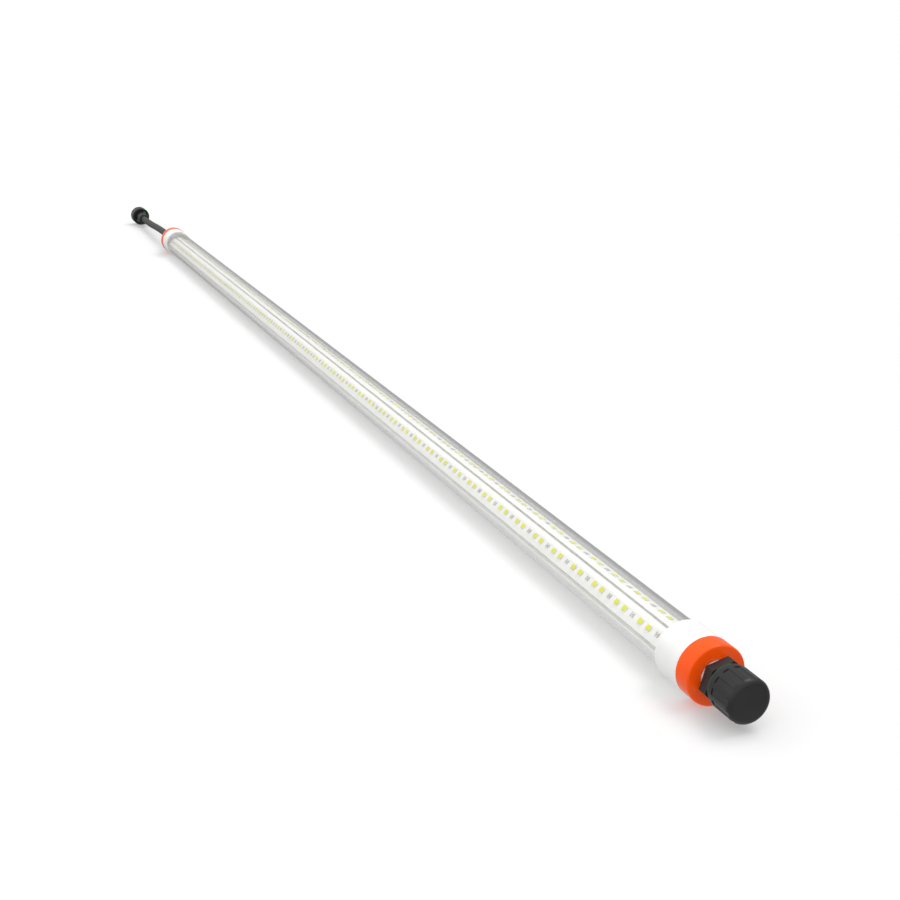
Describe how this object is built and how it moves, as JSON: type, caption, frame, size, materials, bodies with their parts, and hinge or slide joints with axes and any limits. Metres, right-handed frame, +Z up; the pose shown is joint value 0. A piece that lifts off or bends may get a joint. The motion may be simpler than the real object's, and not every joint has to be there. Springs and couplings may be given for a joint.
{
  "type": "tube light",
  "caption": "Waterproof linear LED light in a clear round tube, with orange-ringed white end caps, a screw-capped socket at one end and a short cable with a screw-ring plug at the other",
  "frame": {"origin": "on the ground below the tube's axis, half way between the blind cap's front and the rubber boot's tip", "axes": "+X along the tube towards the blind cap, +Z up as the light lies in the picture, with the light side turned 15 degrees from +Z towards -Y"},
  "size_m": [1.8835, 0.038, 0.038],
  "materials": {
    "clear_tube": "clear gloss",
    "white_plastic": "satin moulded",
    "orange_plastic": "gloss moulded",
    "black_plastic": "fine spark texture",
    "white_extrusion": "satin powder coat",
    "circuit_white": "white solder mask",
    "led_body": "silicone over white housing",
    "resistor_body": "ceramic chip",
    "circuit_green": "solder mask",
    "component_black": "moulded epoxy",
    "component_grey": "moulded",
    "ferrite": "sintered",
    "can_aluminium": "sleeved can",
    "insulating_film": "film",
    "screw_steel": "zinc plated",
    "wire_brown": "wire insulation",
    "wire_blue": "wire insulation",
    "wire_earth": "wire insulation",
    "contact_metal": "plated",
    "seal_rubber": "matte",
    "green_rubber": "satin",
    "clear_seal": "matte",
    "cable_rubber": "matte"
  },
  "bodies": {
    "light": {"clear_tube": "clear_tube", "led_profile": "white_extrusion", "led_board_front": "circuit_white", "led_board_rear": "circuit_white", "leds_front": "led_body", "leds_rear": "led_body", "resistors_front": "resistor_body", "resistors_rear": "resistor_body", "driver_board": "circuit_green", "driver_insulator": "insulating_film", "driver_terminal": "component_grey", "driver_fuse": "component_grey", "driver_choke": "ferrite", "driver_rectifier": "component_black", "driver_capacitors": "can_aluminium", "driver_transformer": "ferrite", "driver_transistor": "component_black", "driver_inductor": "ferrite", "driver_output_terminal": "component_grey", "through_wire_live": "wire_brown", "through_wire_neutral": "wire_blue", "through_wire_earth": "wire_earth", "socket_body": "black_plastic", "socket_gasket": "seal_rubber", "socket_locknut": "black_plastic", "socket_insert": "black_plastic", "socket_pins": "contact_metal", "green_seal": "green_rubber", "gland_body": "black_plastic", "gland_locknut": "black_plastic", "gland_nut": "black_plastic", "gland_boot": "seal_rubber", "supply_cable": "cable_rubber", "sheath_in_gland": "cable_rubber", "sheath_in_plug": "cable_rubber", "plug_nut": "black_plastic", "plug_seal": "seal_rubber", "plug_body": "black_plastic", "plug_insert": "black_plastic", "plug_contacts": "contact_metal", "plug_cores": "wire_brown", "lock_collar": "black_plastic", "lock_tabs": "green_rubber", "end_cap_near": "white_plastic", "end_ring_near": "orange_plastic", "tube_seal_near": "clear_seal", "end_plate_near": "white_plastic", "plate_screws_near": "screw_steel", "end_cap_far": "white_plastic", "end_ring_far": "orange_plastic", "tube_seal_far": "clear_seal", "end_plate_far": "white_plastic", "plate_screws_far": "screw_steel"},
    "cap_seal": {"cap_seal_disc": "seal_rubber"},
    "blind_cap": {"blind_cap": "black_plastic"},
    "coupling_ring": {"coupling_ring": "black_plastic"}
  },
  "joints": [
    {"name": "cap_travel", "type": "slide", "parent": "light", "child": "cap_seal", "axis": [1, 0, 0], "range_m": [0, 0.0181]},
    {"name": "cap_turn", "type": "hinge", "parent": "cap_seal", "child": "blind_cap", "pos_m": [0.79755, 0, 0.019], "axis": [1, 0, 0], "range_deg": [0, 3240]},
    {"name": "coupling_turn", "type": "hinge", "parent": "light", "child": "coupling_ring", "pos_m": [-1.05845, 0, 0.01395], "axis": [1, 0, 0], "continuous": true}
  ],
  "couplings": [
    {"joint": "cap_travel", "follows": "cap_turn", "m_per_rad": 0.00031831}
  ]
}
